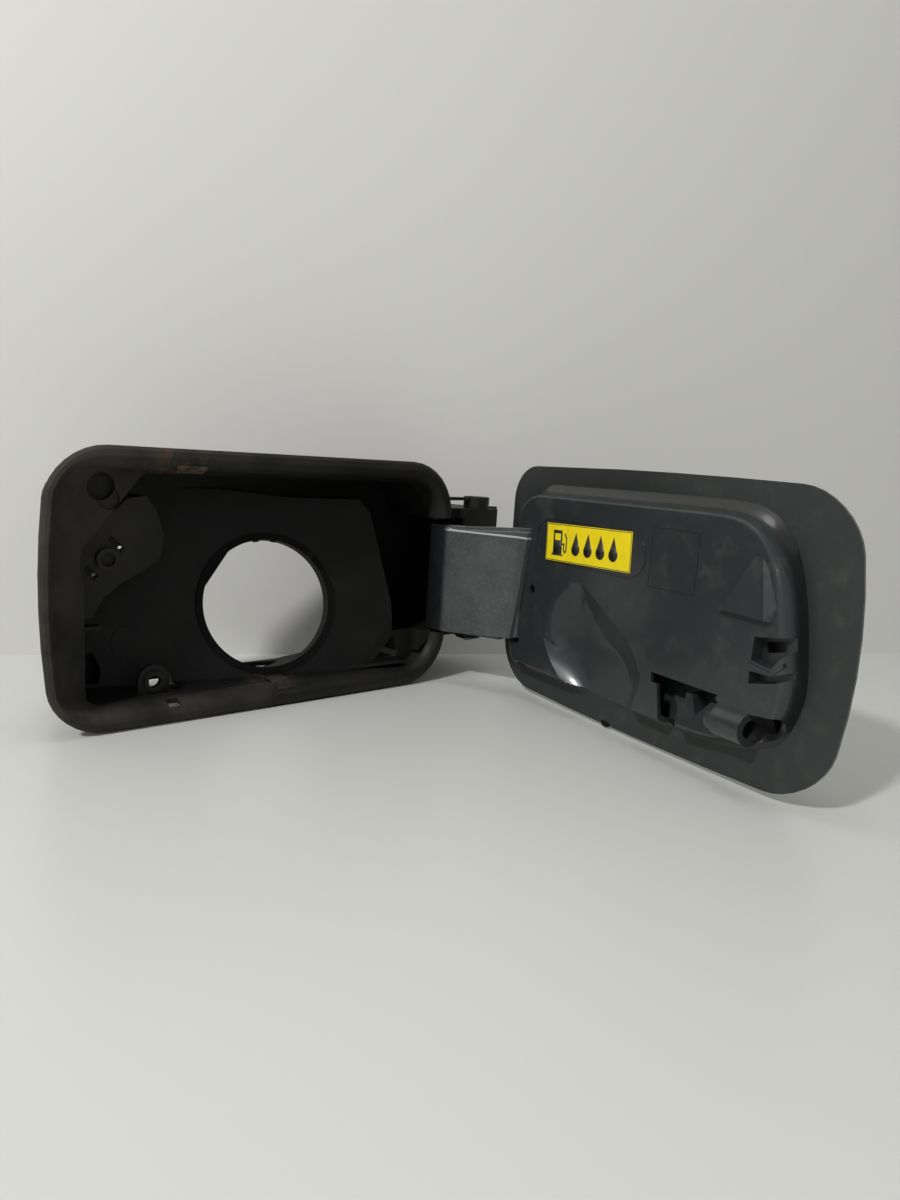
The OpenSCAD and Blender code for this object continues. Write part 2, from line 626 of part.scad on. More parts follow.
// outline of the moulded field round the label, drawn in by g
module label_field(g) {
    polygon(concat([for (i = [0:12]) [58 + (11.6 - g) * cos(15 * i - 90),
                                      28 + (11.6 - g) * sin(15 * i - 90)]],
                   [for (i = [0:12]) [-4 + (11.6 - g) * cos(15 * i + 90),
                                      28 + (11.6 - g) * sin(15 * i + 90)]]));
}
module door_liner() {
    color([0.24, 0.26, 0.28])
    swing()
    difference() {
        union() {
            difference() {
                liner_outer();
                liner_inner();
            }
            // skin of the scoop
            intersection() {
                liner_outer();
                scoop(liner_t);
            }
            wedge();
            // body round the keeper pocket, the strap slot and the tube boss
            intersection() {
                liner_outer();
                deep(liner_base - 0.5, liner_y + 1)
                    union() {
                        polygon([[-77, 9], [-106, 13], [-106, -13], [-92, -19], [-77, -18]]);
                        polygon([[-46.4, -28.6], [-66.5, -28.6], [-88, -24], [-90, -52], [-46.4, -52]]);
                    }
            }
            deep(liner_y - 2, liner_y + 0.6)
                polygon([[-79.6, -6.6], [-90.4, -8.5], [-96.6, -3.2], [-96.6, -5], [-91.6, -9.8],
                         [-79.6, -8.7]]);
            // tube boss toward the free end
            translate([-65.6, liner_y - 3, -35.4])
                rotate([0, -90, 0])
                    rotate_extrude()
                        polygon([[0, -6.6], [2.6, -6.2], [5, -4.8], [6.6, -2.6], [7.3, 0], [7.4, 17],
                                 [0, 17]]);
        }
        scoop(0);
        // room for the arm's foot
        block([79.8, liner_base - 4, -33.9], [140, liner_y + 10, 31.4]);
        // keeper pocket and the groove below its lip
        deep(3, liner_y + 4)
            polygon([[-81, 4.4], [-84, 4.8], [-97, 6.8], [-97.6, 1.6], [-90.4, -7.2], [-80.8, -5.6]]);
        deep(-1.6, liner_y + 4)
            polygon([[-82.6, 2.4], [-93, 4.4], [-92.4, 0], [-84, -2.2]]);
        deep(3.4, liner_y + 4)
            polygon([[-80.4, -10.2], [-92, -9.9], [-106, -3.6], [-106, -6], [-92.8, -12.6],
                     [-80.8, -15.4]]);
        // strap slot, notch beside its tab and gap beside the ramp
        deep(-1.6, liner_y + 4) {
            polygon([[-25.8, -24.2], [-65.6, -24.5], [-64.2, -29.2], [-60.6, -29.6], [-56.4, -34.6],
                     [-53.9, -37],
                     [-49.8, -28.9], [-26.4, -28.9]]);
            polygon([[-30.2, -28.8], [-37.8, -28.8], [-43.2, -36.4], [-44.6, -53], [-34.4, -53]]);
        }
        // ramp that rises from the slot to the lower edge
        translate([-66.2, 0, 0])
            rotate([90, 0, 90])
                linear_extrude(height = 28.6)
                    polygon([[liner_y - 2.6, -27], [liner_y - 2.3, -30], [liner_y + 0.02, -43.6],
                             [liner_y + 3, -43.6],
                             [liner_y + 3, -27]]);
        // bore of the tube boss and the hollow in front of its mouth
        translate([-76, liner_y - 3, -35.4])
            rotate([0, -90, 0])
                cylinder(r = 4.3, h = 30);
        translate([-82.6, liner_y - 3, -35.4])
            rotate([0, -90, -7])
                cylinder(r1 = 7.8, r2 = 9.4, h = 26);
        // groove round the label's field, faint square beside it
        deep(liner_y - 0.4, liner_y + 4)
            difference() {
                label_field(0);
                label_field(0.8);
            }
        deep(liner_y - 0.25, liner_y + 4)
            difference() {
                translate([-47, 15])
                    square([29, 28]);
                translate([-46.5, 15.5])
                    square([28, 27]);
            }
        // small holes at the hinge end
        translate([70.7, 20, -0.8])
            rotate([90, 0, 0])
                cylinder(r = 2.4, h = 16);
        block([71, 4, -46.4], [79.4, 14, -44.4]);
    }
}
module skin_face(g) {
    loft([[door_edge_y + g + skin_t + 0.01, door_pts(g * 1.2)],
          [door_edge_y + g * 0.6 - 0.1, door_pts(g * 1.2)],
          [door_edge_y - 0.9 + g, door_pts(1.2 + g)],
          [door_edge_y - 2.4 + g, door_pts(7)], [door_edge_y - door_crown + 0.9 + g, door_pts(26)],
          [door_edge_y - door_crown + g, door_pts(50)]]);
}
module door_skin() {
    color([0.24, 0.27, 0.26])
    swing()
    difference() {
        skin_face(0);
        // shallow hollow of the crown between skin and liner
        loft([[door_edge_y + skin_t + 4, liner_pts(2.6)], [door_edge_y + skin_t - 2.2, liner_pts(3.4)],
              [door_edge_y + skin_t - 3.4, liner_pts(8)]]);
    }
}
module fuel_label() {
    color([0.9, 0.8, 0.05])
    swing()
        translate([27.7, liner_y + 0.02, 28.4])
            rotate([0, 1.55, 0])
                block([-label_w / 2, 0, -label_h / 2], [label_w / 2, 0.25, label_h / 2]);
}

housing_bowl();
neck_collar();
retaining_clip_top();
retaining_clip_floor();
hinge_pin();
pin_retainer();
hinge_arm();
arm_bush_upper();
arm_bush_lower();
door_liner();
door_skin();
fuel_label();
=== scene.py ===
# Looks of a car fuel door with its filler bowl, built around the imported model.
# Metres; x runs toward the hinge side, y into the car body, z up.
import math
import bmesh
import bpy
from mathutils import Matrix, Vector, noise


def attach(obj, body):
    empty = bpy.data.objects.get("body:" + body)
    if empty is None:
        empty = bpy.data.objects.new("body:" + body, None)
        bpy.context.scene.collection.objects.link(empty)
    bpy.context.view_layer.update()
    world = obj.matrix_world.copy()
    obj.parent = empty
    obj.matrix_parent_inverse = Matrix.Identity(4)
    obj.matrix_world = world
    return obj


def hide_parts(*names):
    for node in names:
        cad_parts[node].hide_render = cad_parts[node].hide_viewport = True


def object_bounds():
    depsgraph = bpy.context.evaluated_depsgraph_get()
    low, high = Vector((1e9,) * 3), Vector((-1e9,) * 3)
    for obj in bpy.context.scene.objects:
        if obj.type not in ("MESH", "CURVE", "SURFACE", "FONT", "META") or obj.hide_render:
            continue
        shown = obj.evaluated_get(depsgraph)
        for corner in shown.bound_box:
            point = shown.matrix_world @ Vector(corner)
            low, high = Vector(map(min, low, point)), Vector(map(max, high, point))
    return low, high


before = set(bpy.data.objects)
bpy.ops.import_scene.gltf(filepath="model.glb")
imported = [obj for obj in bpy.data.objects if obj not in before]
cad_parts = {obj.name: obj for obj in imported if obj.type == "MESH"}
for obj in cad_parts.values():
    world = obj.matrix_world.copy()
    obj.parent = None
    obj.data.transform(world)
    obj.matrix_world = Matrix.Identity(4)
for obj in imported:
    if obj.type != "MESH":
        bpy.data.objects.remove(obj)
CAD_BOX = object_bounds()

bl_info = {
    "name": "Car Fuel Door",
    "version": (1, 0, 0),
    "blender": (4, 5, 0),
    "location": "View3D > Sidebar > Fuel Door",
    "description": "Moulded finishes, edges and label of a car fuel door with its filler bowl",
    "category": "Object",
}

MM = 0.001
# Centre of the bowl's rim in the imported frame, whose origin is the neck opening
RIM = Vector((-6.3, -28.0, 15.8)) * MM
# Axis of the hinge pin, from the rim's centre
PIN = Vector((137.5, 6.5, 0.0)) * MM
OPEN_ANGLE = math.radians(80.0)
# Takes a point of the shut door, from the rim's centre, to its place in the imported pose
SWING = (
    Matrix.Translation(RIM + PIN)
    @ Matrix.Rotation(OPEN_ANGLE, 4, "Z")
    @ Matrix.Translation(-PIN)
)

# Places below are in millimetres from the rim's centre, those on the door with the door shut.
# Rust stains on the bowl: place, inner and outer reach
RUST_STAINS = (((2.0, 17.0, -55.0), 5.0, 17.0), ((-58.0, 3.0, 58.0), 4.0, 22.0))
DUSTY_CORNER = Vector((-92.0, 8.0, 28.0))
SCOOP = Vector((12.0, 3.0, -34.0))
RING_MARK = Vector((-109.4, 1.0, 8.0))
SHRED_PLACE = Vector((14.7, -2.8, -63.3))
SHRED_HALF_SIZE = Vector((3.2, 0.8, 1.4))
# The label: centre of its face, size and turn; thickness of its print
LABEL_CENTRE = Vector((27.7, 9.275, 28.4))
LABEL_SIZE = Vector((66.0, 20.0))
LABEL_TURN = math.radians(1.55)
PRINT_THICKNESS = 0.03

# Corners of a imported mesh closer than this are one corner
MERGE_DISTANCE = 0.002 * MM
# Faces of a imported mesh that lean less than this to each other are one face
FLAT_ANGLE = math.radians(0.6)

FLOOR_GAP = 0.05 * MM
STAGE_SPAN = 8.0
# Lamps that look at the origin: name, place, width and power in watts
LAMPS = (
    ("left_light", (-1.15, -0.41, 1.02), 0.12, 16.0),
    ("ceiling_light", (0.0, -0.05, 1.6), 0.6, 4.5),
)


def linear(red, green, blue):
    """A display colour from 0 to 255 as the linear values that Blender works in."""
    def one(value):
        part = value / 255.0
        return part / 12.92 if part <= 0.04045 else ((part + 0.055) / 1.055) ** 2.4
    return (one(red), one(green), one(blue))


def shaded(colour, factor):
    """A colour made darker or lighter by a factor."""
    return tuple(part * factor for part in colour)


class FuelDoorStageSettings(bpy.types.PropertyGroup):
    """Camera, floor and light"""
    lens: bpy.props.FloatProperty(
        name="Lens", description="Focal length of the camera in millimetres", unit="CAMERA",
        default=25.5)
    camera_place: bpy.props.FloatVectorProperty(
        name="Camera", description="Place of the camera", subtype="TRANSLATION",
        default=(-0.22973, -0.40808, 0.08447))
    yaw: bpy.props.FloatProperty(
        name="Yaw", description="Turn of the view from the y axis", subtype="ANGLE",
        default=math.radians(-41.6857))
    pitch: bpy.props.FloatProperty(
        name="Pitch", description="Downward tilt of the view", subtype="ANGLE",
        default=math.radians(9.47836))
    roll: bpy.props.FloatProperty(
        name="Roll", description="Roll of the camera", subtype="ANGLE",
        default=math.radians(-3.58242))
    floor_level: bpy.props.FloatProperty(
        name="Floor level", description="Height of the table", subtype="DISTANCE",
        default=CAD_BOX[0][2] - FLOOR_GAP)
    floor_colour: bpy.props.FloatVectorProperty(
        name="Table colour", description="Colour of the table", subtype="COLOR",
        default=linear(205, 206, 201), min=0.0, max=1.0)
    wall_colour: bpy.props.FloatVectorProperty(
        name="Wall colour", description="Colour of the wall behind", subtype="COLOR",
        default=linear(216, 215, 211), min=0.0, max=1.0)
    sky: bpy.props.FloatProperty(
        name="Sky", description="Strength of the even light from all sides", default=0.38, min=0.0)
    wall_turn: bpy.props.FloatProperty(
        name="Wall turn", description="Turn of the wall about z", subtype="ANGLE",
        default=math.radians(-25.78))
    wall_distance: bpy.props.FloatProperty(
        name="Wall distance", description="Distance of the wall from the origin",
        subtype="DISTANCE", default=0.0874)


class FuelDoorFinishSettings(bpy.types.PropertyGroup):
    """Colours and edges of the moulded pieces"""
    bowl_colour: bpy.props.FloatVectorProperty(
        name="Bowl", description="Black plastic of the filler bowl", subtype="COLOR",
        default=linear(17, 17, 17), min=0.0, max=1.0)
    dust_colour: bpy.props.FloatVectorProperty(
        name="Dust", description="Road dust on the bowl", subtype="COLOR",
        default=linear(56, 54, 50), min=0.0, max=1.0)
    arm_colour: bpy.props.FloatVectorProperty(
        name="Arm", description="Grey plastic of the hinge arm", subtype="COLOR",
        default=linear(78, 82, 81), min=0.0, max=1.0)
    liner_colour: bpy.props.FloatVectorProperty(
        name="Liner", description="Painted plastic of the door's liner", subtype="COLOR",
        default=linear(46, 50, 51), min=0.0, max=1.0)
    skin_colour: bpy.props.FloatVectorProperty(
        name="Skin", description="Paint on the door's outer skin", subtype="COLOR",
        default=linear(45, 49, 48), min=0.0, max=1.0)
    label_colour: bpy.props.FloatVectorProperty(
        name="Label", description="Film of the fuel label", subtype="COLOR",
        default=linear(238, 214, 20), min=0.0, max=1.0)
    edge: bpy.props.FloatProperty(
        name="Edge", description="Rounding of the bowl's moulded edges", subtype="DISTANCE",
        default=0.5 * MM, min=0.0)


class Finish:
    """A procedural material on Object coordinates, put together node by node."""

    def __init__(self, name, colour, roughness, metallic=0.0, coat=0.0, specular=0.5):
        self.material = bpy.data.materials.new(name)
        self.material.use_nodes = True
        self.tree = self.material.node_tree
        self.shader = self.tree.nodes["Principled BSDF"]
        self.place = self.node("ShaderNodeTexCoord").outputs["Object"]
        self.set("Base Color", (*colour, 1.0))
        self.set("Roughness", roughness)
        self.set("Metallic", metallic)
        self.set("Coat Weight", coat)
        self.set("Specular IOR Level", specular)
        self.last_bump = None

    def node(self, kind, **values):
        """Adds a node with the given settings."""
        made = self.tree.nodes.new(kind)
        for name, value in values.items():
            setattr(made, name, value)
        return made

    def link(self, source, socket):
        """Joins an output to an input."""
        self.tree.links.new(source, socket)

    def set(self, name, value):
        """Sets one plain value of the surface."""
        self.shader.inputs[name].default_value = value

    def noise(self, scale, detail, roughness=0.5):
        """Noise with the given number of features per metre."""
        made = self.node("ShaderNodeTexNoise")
        made.inputs["Scale"].default_value = scale
        made.inputs["Detail"].default_value = detail
        made.inputs["Roughness"].default_value = roughness
        self.link(self.place, made.inputs["Vector"])
        return made.outputs["Fac"]

    def fade(self, source, start, end, low=0.0, high=1.0):
        """Maps start..end of a value to low..high, held at both ends."""
        made = self.node("ShaderNodeMapRange", interpolation_type="SMOOTHSTEP")
        made.inputs["From Min"].default_value = start
        made.inputs["From Max"].default_value = end
        made.inputs["To Min"].default_value = low
        made.inputs["To Max"].default_value = high
        self.link(source, made.inputs["Value"])
        return made.outputs["Result"]

    def maths(self, operation, first, second):
        """Works with two values, each a number or a socket; the result is held between 0 and 1."""
        made = self.node("ShaderNodeMath", operation=operation, use_clamp=True)
        for socket, value in zip(made.inputs, (first, second)):
            if isinstance(value, (int, float)):
                socket.default_value = value
            else:
                self.link(value, socket)
        return made.outputs["Value"]

    def times(self, first, second):
        """The product of two values."""
        return self.maths("MULTIPLY", first, second)

    def plus(self, first, second):
        """The total of two values."""
        return self.maths("ADD", first, second)

    def minus(self, first, second):
        """The first value less the second."""
        return self.maths("SUBTRACT", first, second)

    def part_of(self, vector, name):
        """One of the three parts of a vector."""
        parts = self.node("ShaderNodeSeparateXYZ")
        self.link(vector, parts.inputs["Vector"])
        return parts.outputs[name]

    def axis(self, name):
        """One coordinate of the object's own place."""
        return self.part_of(self.place, name)

    def facing(self, name):
        """One part of the surface's normal."""
        return self.part_of(self.node("ShaderNodeTexCoord").outputs["Normal"], name)

    def near(self, point, inner, outer):
        """1 within the inner distance of a point, 0 beyond the outer one."""
        gap = self.node("ShaderNodeVectorMath", operation="DISTANCE")
        self.link(self.place, gap.inputs[0])
        gap.inputs[1].default_value = tuple(point)
        return self.fade(gap.outputs["Value"], inner, outer, 1.0, 0.0)

    def depth(self):
        """Depth into the body of a point of the shut door, in metres from the rim's plane."""
        across = SWING.to_3x3() @ Vector((0.0, 1.0, 0.0))
        made = self.node("ShaderNodeVectorMath", operation="DOT_PRODUCT")
        self.link(self.place, made.inputs[0])
        made.inputs[1].default_value = across
        shifted = self.node("ShaderNodeMath", operation="SUBTRACT")
        self.link(made.outputs["Value"], shifted.inputs[0])
        shifted.inputs[1].default_value = across.dot(SWING @ Vector((0.0, 0.0, 0.0)))
        return shifted.outputs["Value"]

    def ring(self, point, radius, width):
        """1 on a ring round a point, fading over the given width."""
        outer = self.near(point, radius, radius + width)
        inner = self.near(point, radius - width, radius)
        return self.minus(outer, inner)

    def mix(self, factor, first, second):
        """A colour between first and second, each a colour or a socket."""
        made = self.node("ShaderNodeMix", data_type="RGBA")
        self.link(factor, made.inputs[0])
        for socket, value in ((made.inputs[6], first), (made.inputs[7], second)):
            if isinstance(value, tuple):
                socket.default_value = (*value, 1.0)
            else:
                self.link(value, socket)
        return made.outputs[2]

    def colour(self, socket):
        """Gives the surface its colour."""
        self.link(socket, self.shader.inputs["Base Color"])

    def rough(self, socket):
        """Gives the surface its roughness."""
        self.link(socket, self.shader.inputs["Roughness"])

    def bump(self, height, depth, strength):
        """Adds relief of the given depth in metres."""
        made = self.node("ShaderNodeBump")
        made.inputs["Distance"].default_value = depth
        made.inputs["Strength"].default_value = strength
        self.link(height, made.inputs["Height"])
        if self.last_bump is not None:
            self.link(self.last_bump, made.inputs["Normal"])
        self.last_bump = made.outputs["Normal"]
        self.link(self.last_bump, self.shader.inputs["Normal"])


def bowl_plastic(settings):
    """Grained black plastic, greyed by dust on the rim and the ledge, with rust stains by the clips."""
    made = Finish("bowl_plastic", settings.bowl_colour, 0.5, specular=0.2)
    front = made.fade(made.axis("Y"), RIM.y + 16.0 * MM, RIM.y + 1.0 * MM)
    cloud = made.fade(made.noise(45.0, 5.0, 0.6), 0.3, 0.75)
    dust = made.times(made.plus(made.times(front, 0.8), 0.12), cloud)
    dust = made.plus(dust, made.times(front, 0.25))
    dust = made.times(dust, made.fade(made.axis("X"), -85.0 * MM, 30.0 * MM, 1.0, 0.3))
    corner = made.near(RIM + DUSTY_CORNER * MM, 18.0 * MM, 48.0 * MM)
    dust = made.plus(dust, made.times(corner, 0.4))
    tone = made.mix(dust, tuple(settings.bowl_colour), tuple(settings.dust_colour))
    patchy = made.fade(made.noise(150.0, 5.0, 0.65), 0.42, 0.62)
    for place, inner, outer in RUST_STAINS:
        reach = made.near(RIM + Vector(place) * MM, inner * MM, outer * MM)
        tone = made.mix(made.times(reach, patchy), tone, linear(74, 58, 44))
    made.colour(tone)
    satin = made.fade(made.noise(60.0, 4.0), 0.3, 0.7, 0.4, 0.5)
    made.rough(made.plus(satin, made.times(dust, 0.3)))
    made.bump(made.noise(1400.0, 2.0), 0.06 * MM, 0.5)
    made.bump(made.noise(160.0, 3.0), 0.15 * MM, 0.25)
    return made.material


def collar_rubber():
    """Dull black rubber of the neck collar."""
    black = linear(10, 10, 10)
    made = Finish("collar_rubber", black, 0.6, specular=0.12)
    spots = made.fade(made.noise(220.0, 4.0), 0.55, 0.75)
    made.colour(made.mix(spots, black, linear(28, 26, 24)))
    made.bump(made.noise(700.0, 2.0), 0.05 * MM, 0.4)
    return made.material


def rusty_steel(name, clean, rusted):
    """Spring steel gone brown with rust."""
    made = Finish(name, rusted, 0.6, metallic=0.35)
    rust = made.fade(made.noise(420.0, 6.0, 0.65), 0.38, 0.62)
    made.colour(made.mix(rust, clean, rusted))
    made.rough(made.fade(made.noise(300.0, 4.0), 0.3, 0.7, 0.45, 0.85))
    made.bump(made.noise(900.0, 4.0), 0.08 * MM, 0.5)
    return made.material


def bare_steel(name, shade):
    """Turned steel, slightly stained."""
    made = Finish(name, shade, 0.4, metallic=0.9)
    stain = made.fade(made.noise(350.0, 4.0), 0.4, 0.7)
    made.colour(made.mix(stain, shade, shaded(shade, 0.55)))
    made.rough(made.fade(made.noise(500.0, 3.0), 0.3, 0.7, 0.28, 0.5))
    return made.material


def arm_plastic(settings):
    """Satin grey plastic of the arm: fine moulding grain, painted highlights on its upward-facing edges
    and on a band below its top, and painted shade on its root.
    """
    shade = tuple(settings.arm_colour)
    made = Finish("arm_plastic", shade, 0.36, metallic=0.25)
    cloud = made.fade(made.noise(55.0, 4.0), 0.35, 0.7)
    tone = made.mix(cloud, shaded(shade, 0.86), shaded(shade, 1.1))
    speckle = made.times(made.fade(made.noise(560.0, 4.0, 0.7), 0.48, 0.66), 0.4)
    tone = made.mix(speckle, tone, shaded(shade, 1.7))
    upward = made.facing("Z")
    # Painted highlight: faces that tilt upward, such as the rounding of the top edges, are painted near
    # white.
    brightened = made.times(made.fade(upward, 0.2, 0.45), made.fade(upward, 0.9, 0.98, 1.0, 0.2))
    tone = made.mix(brightened, tone, linear(216, 220, 220))
    # Painted highlight: a band just below the arm's top edge is painted light.
    height = made.axis("Z")
    painted_highlight_band = made.times(made.fade(height, 42.1 * MM, 42.5 * MM),
                        made.fade(height, 43.2 * MM, 43.5 * MM, 0.85, 0.0))
    tone = made.mix(painted_highlight_band, tone, linear(200, 204, 205))
    # Painted shade: the arm's root inside the bowl, where shadow falls, is painted near black.
    painted_shade_root = made.fade(made.axis("Y"), RIM.y - 6.0 * MM, RIM.y - 2.0 * MM)
    made.colour(made.mix(painted_shade_root, tone, linear(26, 28, 30)))
    made.rough(made.fade(made.noise(130.0, 3.0), 0.3, 0.7, 0.3, 0.44))
    made.bump(made.noise(1100.0, 3.0), 0.08 * MM, 0.5)
    return made.material


def bush_nylon():
    """Off-white nylon of the bushes."""
    pale = linear(206, 204, 190)
    made = Finish("bush_plastic", pale, 0.45)
    stain = made.fade(made.noise(500.0, 4.0), 0.5, 0.75)
    made.colour(made.mix(stain, pale, linear(150, 144, 126)))
    return made.material


def liner_paint(settings):
    """Satin lacquer of the liner with fine flakes, dust, and darker colour towards its foot outside the
    scoop.
    """
    shade = tuple(settings.liner_colour)
    made = Finish("liner_paint", shade, 0.3, metallic=0.3, coat=0.4)
    made.set("Coat Roughness", 0.13)
    cloud = made.fade(made.noise(24.0, 3.0), 0.25, 0.8)
    tone = made.mix(cloud, shaded(shade, 0.92), shaded(shade, 1.1))
    flakes = made.times(made.fade(made.noise(5200.0, 1.0), 0.3, 0.75), 0.3)
    tone = made.mix(flakes, tone, shaded(shade, 1.6))
    dust = made.times(made.fade(made.noise(90.0, 5.0, 0.6), 0.5, 0.72), 0.25)
    tone = made.mix(dust, tone, linear(84, 84, 78))
    # Darker towards the liner's foot by the skin, but not round the scoop.
    foot = made.fade(made.depth(), 1.5 * MM, 4.5 * MM, 0.75, 0.0)
    scoop = made.near(SWING @ (SCOOP * MM), 42.0 * MM, 55.0 * MM)
    darker_foot = made.times(foot, made.minus(1.0, scoop))
    made.colour(made.mix(darker_foot, tone, linear(20, 19, 18)))
    satin = made.fade(made.noise(26.0, 3.0), 0.25, 0.8, 0.3, 0.38)
    made.rough(made.plus(satin, made.times(dust, 0.6)))
    made.bump(made.noise(420.0, 2.0), 0.04 * MM, 0.25)
    return made.material


def skin_paint(settings):
    """Dull paint of the outer skin with dust, a ring mark, painted shade on its upper part and a painted
    highlight on its edge.
    """
    shade = tuple(settings.skin_colour)
    made = Finish("skin_paint", shade, 0.42, metallic=0.2, coat=0.08)
    made.set("Coat Roughness", 0.3)
    cloud = made.fade(made.noise(26.0, 3.0), 0.25, 0.8)
    tone = made.mix(cloud, shaded(shade, 0.92), shaded(shade, 1.08))
    dust = made.times(made.fade(made.noise(110.0, 5.0, 0.6), 0.5, 0.75), 0.2)
    tone = made.mix(dust, tone, linear(96, 95, 88))
    mark = made.times(made.ring(SWING @ (RING_MARK * MM), 3.0 * MM, 0.9 * MM), 0.35)
    tone = made.mix(mark, tone, linear(92, 96, 94))
    # Painted shade: the skin's upper part is painted darker.
    upper = made.times(made.fade(made.axis("Z"), RIM.z + 34.0 * MM, RIM.z + 54.0 * MM),
                       made.fade(made.axis("Y"), -200.0 * MM, -150.0 * MM, 0.0, 0.6))
    tone = made.mix(upper, tone, shaded(shade, 0.35))
    # Painted highlight: the side wall of the hem at the skin's edge is painted light.
    depth = made.depth()
    edge = made.times(made.fade(depth, -3.3 * MM, -3.05 * MM, 1.0, 0.0),
                      made.fade(depth, -4.15 * MM, -3.95 * MM))
    made.colour(made.mix(made.times(edge, 0.8), tone, linear(104, 106, 102)))
    made.rough(made.fade(made.noise(60.0, 3.0), 0.3, 0.72, 0.4, 0.48))
    made.bump(made.noise(380.0, 2.0), 0.04 * MM, 0.25)
    return made.material


def foam_scrap():
    """Dull black foam of the shred of sealing."""
    made = Finish("foam_scrap", linear(14, 13, 12), 0.9, specular=0.1)
    made.colour(made.mix(made.noise(900.0, 3.0), linear(10, 9, 8), linear(34, 30, 26)))
    return made.material


def label_film(settings):
    """Yellow film, a little uneven and worn."""
    shade = tuple(settings.label_colour)
    made = Finish("label_film", shade, 0.42)
    cloud = made.fade(made.noise(120.0, 4.0), 0.4, 0.75)
    made.colour(made.mix(cloud, shade, shaded(shade, 0.86)))
    made.bump(made.noise(260.0, 2.0), 0.04 * MM, 0.3)
    return made.material


def label_ink():
    """Flat black print on the label."""
    black = linear(24, 24, 22)
    made = Finish("label_ink", black, 0.5)
    # The print is worn through to the film in patches.
    brightened = made.fade(made.noise(600.0, 4.0), 0.5, 0.8)
    made.colour(made.mix(brightened, black, linear(60, 56, 30)))
    return made.material


def finish_mesh(shape, name, material):
    """Turns a bmesh into a smooth-shaded object that wears the material."""
    mesh = bpy.data.meshes.new(name)
    shape.to_mesh(mesh)
    shape.free()
    mesh.shade_smooth()
    mesh.materials.append(material)
    piece = bpy.data.objects.new(name, mesh)
    bpy.context.scene.collection.objects.link(piece)
    return piece


def rounded_copy(node, name, material, edge, sharp=28.0, segments=2):
    """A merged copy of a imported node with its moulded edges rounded."""
    shape = bmesh.new()
    shape.from_mesh(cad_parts[node].data)
    bmesh.ops.remove_doubles(shape, verts=shape.verts, dist=MERGE_DISTANCE)
    bmesh.ops.dissolve_degenerate(shape, edges=shape.edges, dist=MERGE_DISTANCE)
    bmesh.ops.dissolve_limit(
        shape, verts=shape.verts, edges=shape.edges, angle_limit=FLAT_ANGLE)
    piece = finish_mesh(shape, name, material)
    if edge > 0.0:
        bevel = piece.modifiers.new("Rounded edges", "BEVEL")
        bevel.width = edge
        bevel.segments = segments
        bevel.limit_method = "ANGLE"
        bevel.angle_limit = math.radians(sharp)
        bevel.use_clamp_overlap = True
        bevel.miter_outer = "MITER_ARC"
    even = piece.modifiers.new("Even shading", "WEIGHTED_NORMAL")
    even.mode = "FACE_AREA"
    even.weight = 100
    even.keep_sharp = True
    return piece


def set_in_place(piece, node, body):
    """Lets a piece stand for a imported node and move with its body."""
    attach(piece, body)
    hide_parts(node)


